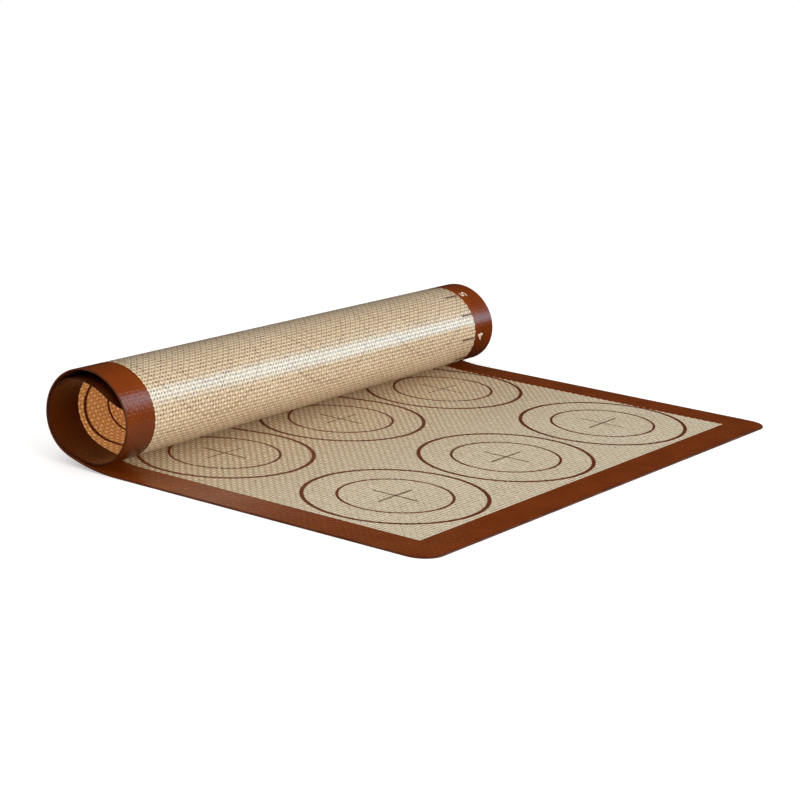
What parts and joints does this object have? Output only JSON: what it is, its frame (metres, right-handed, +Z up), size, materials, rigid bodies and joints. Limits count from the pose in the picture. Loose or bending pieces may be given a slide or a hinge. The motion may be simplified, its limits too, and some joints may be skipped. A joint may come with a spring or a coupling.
{
  "type": "silicone baking mat",
  "caption": "Thin flexible baking mat with a printed border, placing rings and an underside ruler, laid flat with its far end rolled up.",
  "frame": {"origin": "centre of the footprint on the worktop", "axes": "+X along the mat from the roll to the flat end, +Y across the mat, +Z up"},
  "size_m": [0.2078, 0.295, 0.044],
  "materials": {
    "glass_cloth": "plain-woven glass-fibre cloth soaked with silicone",
    "clear_silicone": "tan translucent silicone, satin, with the weave standing through",
    "brown_silicone": "red-brown silicone, semi-gloss, with a faint woven relief",
    "brown_print": "dark brown silicone print, satin"
  },
  "bodies": {
    "root": {"glass_cloth_core": "glass_cloth", "reverse_side_coat": "clear_silicone", "food_side_coat": "clear_silicone", "edge_seal": "brown_silicone", "reverse_side_border": "brown_silicone", "food_side_border": "brown_silicone", "outer_rings": "brown_print", "inner_rings": "brown_print", "centre_crosses": "brown_print", "inch_marks": "brown_print", "half_inch_marks": "brown_print"}
  },
  "joints": []
}
